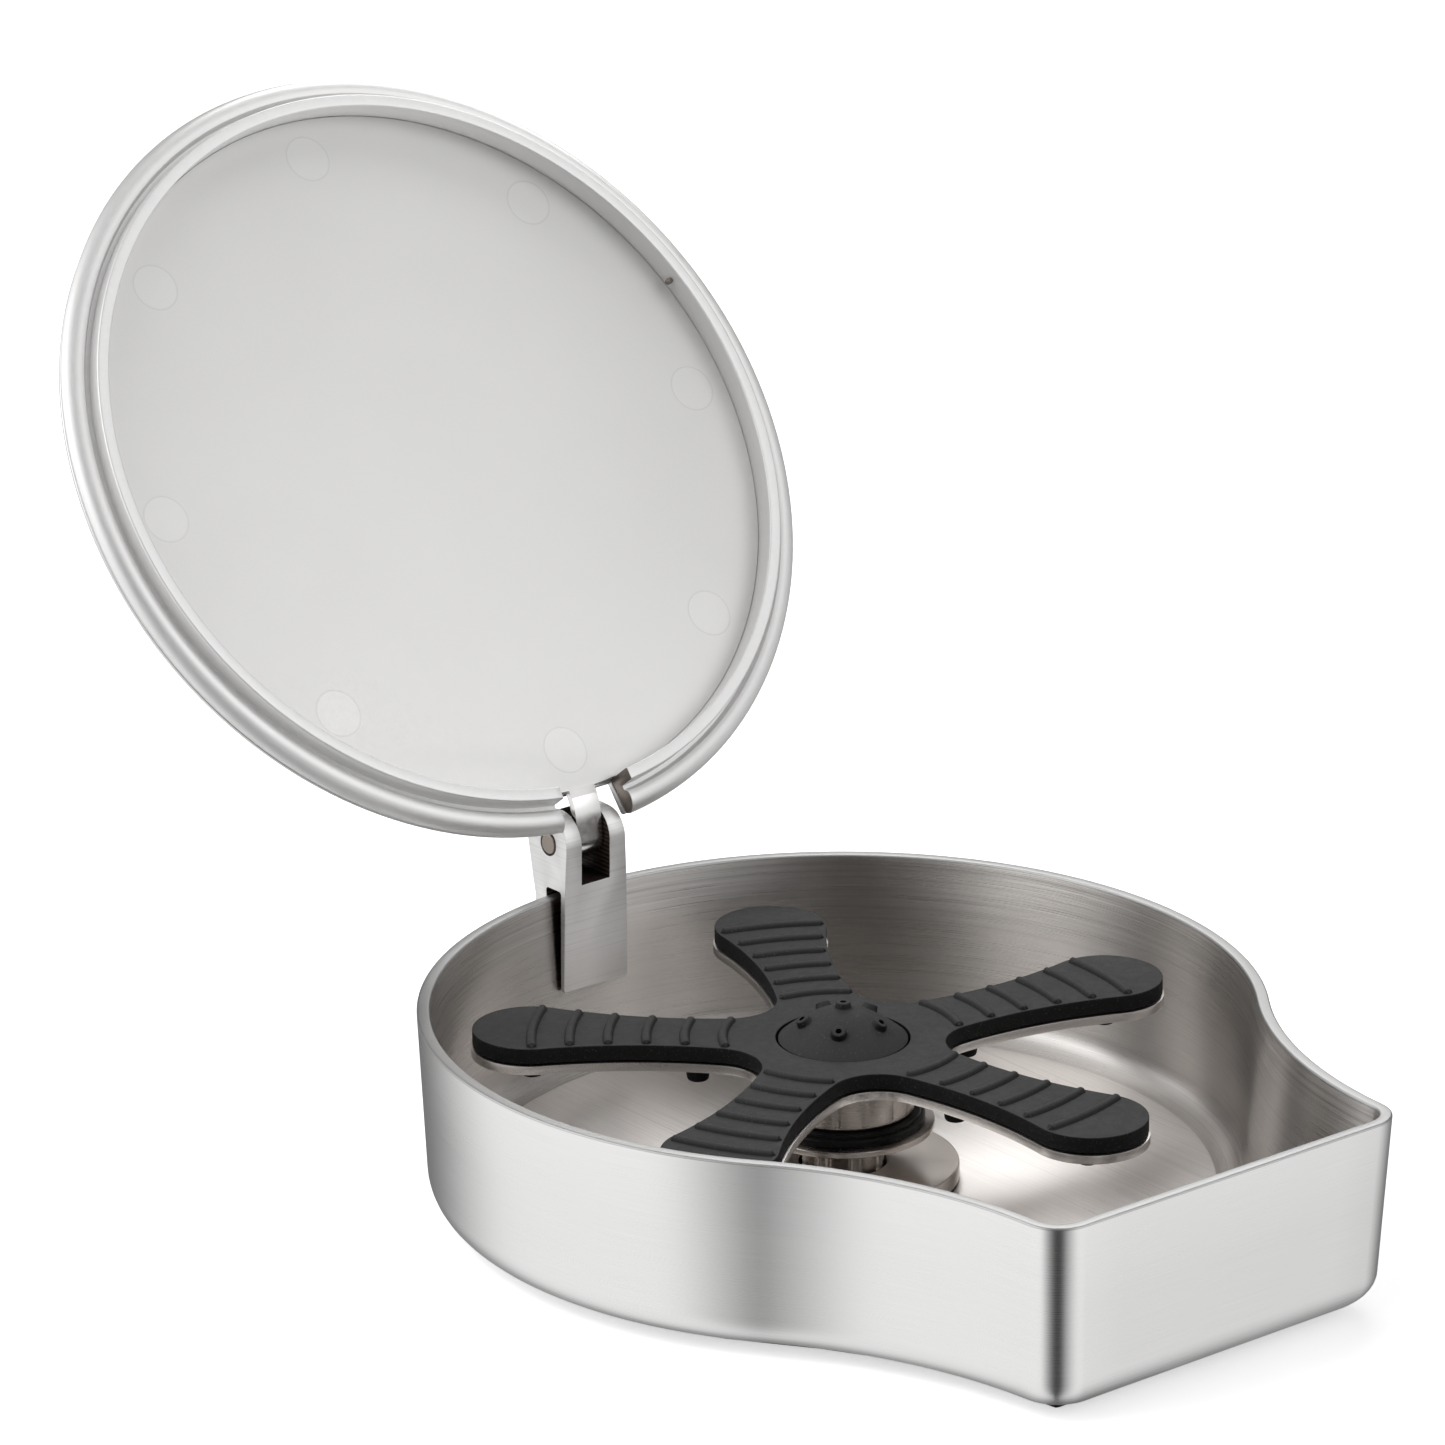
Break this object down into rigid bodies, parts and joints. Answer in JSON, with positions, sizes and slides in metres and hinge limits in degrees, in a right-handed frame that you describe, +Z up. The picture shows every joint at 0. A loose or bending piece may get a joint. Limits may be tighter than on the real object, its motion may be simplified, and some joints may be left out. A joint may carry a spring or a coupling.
{
  "type": "countertop glass rinser with hinged lid",
  "caption": "Steel basin with a pouring prow for a worktop, with a turning rubber-topped star that presses a spring-loaded spray valve, and a hinged round lid.",
  "frame": {"origin": "on the worktop's top face, on the axis of the round part of the basin", "axes": "+Z up along the valve's axis; -Y towards the flat front of the prow; +Y towards the lid's hinge; +X to the right seen from the prow"},
  "size_m": [0.1414, 0.2477, 0.2032],
  "materials": {
    "brushed_steel": "brushed along the length, satin",
    "satin_steel": "fine satin, softly polished",
    "plain_steel": "bright, as machined",
    "nickel_plated_brass": "nickel-plated, warm satin",
    "black_rubber": "matte moulded rubber",
    "seal_rubber": "smooth seal rubber"
  },
  "bodies": {
    "fixture": {"basin": "brushed_steel", "counter_gasket": "seal_rubber", "valve_body": "nickel_plated_brass", "body_gasket": "seal_rubber", "under_counter_seal": "seal_rubber", "under_counter_washer": "plain_steel", "back_nut": "nickel_plated_brass", "return_spring": "plain_steel", "spring_retainer": "plain_steel", "retaining_ring": "plain_steel", "drain_body": "nickel_plated_brass", "drain_gasket": "seal_rubber", "drain_strainer": "plain_steel", "drain_washer": "seal_rubber", "drain_nut": "nickel_plated_brass", "hinge_bracket": "brushed_steel", "hinge_pin": "plain_steel", "clamp_screw_upper": "plain_steel", "clamp_screw_lower": "plain_steel"},
    "plunger": {"plunger": "nickel_plated_brass", "plunger_oring_upper": "seal_rubber", "plunger_oring_lower": "seal_rubber", "flange_seal_ring": "seal_rubber", "poppet_seal": "seal_rubber", "poppet_washer": "plain_steel", "poppet_nut": "plain_steel", "hub_clip": "plain_steel"},
    "star": {"star_hub": "nickel_plated_brass", "star_plate": "satin_steel", "star_pad": "black_rubber", "spray_dome": "black_rubber"},
    "lid": {"lid_cover": "brushed_steel", "lid_ring": "satin_steel", "lid_panel": "satin_steel"}
  },
  "joints": [
    {"name": "star_press", "type": "slide", "parent": "fixture", "child": "plunger", "axis": [0, 0, -1], "range_m": [0, 0.0045], "stiffness_N_per_m": 1500, "springref_m": -0.004, "deforming": ["return_spring"]},
    {"name": "star_spin", "type": "hinge", "parent": "plunger", "child": "star", "pos_m": [0, 0, 0.0243], "axis": [0, 0, 1], "continuous": true},
    {"name": "lid_hinge", "type": "hinge", "parent": "fixture", "child": "lid", "pos_m": [0, 0.07, 0.043], "axis": [1, 0, 0], "range_deg": [0, 128.2]}
  ]
}
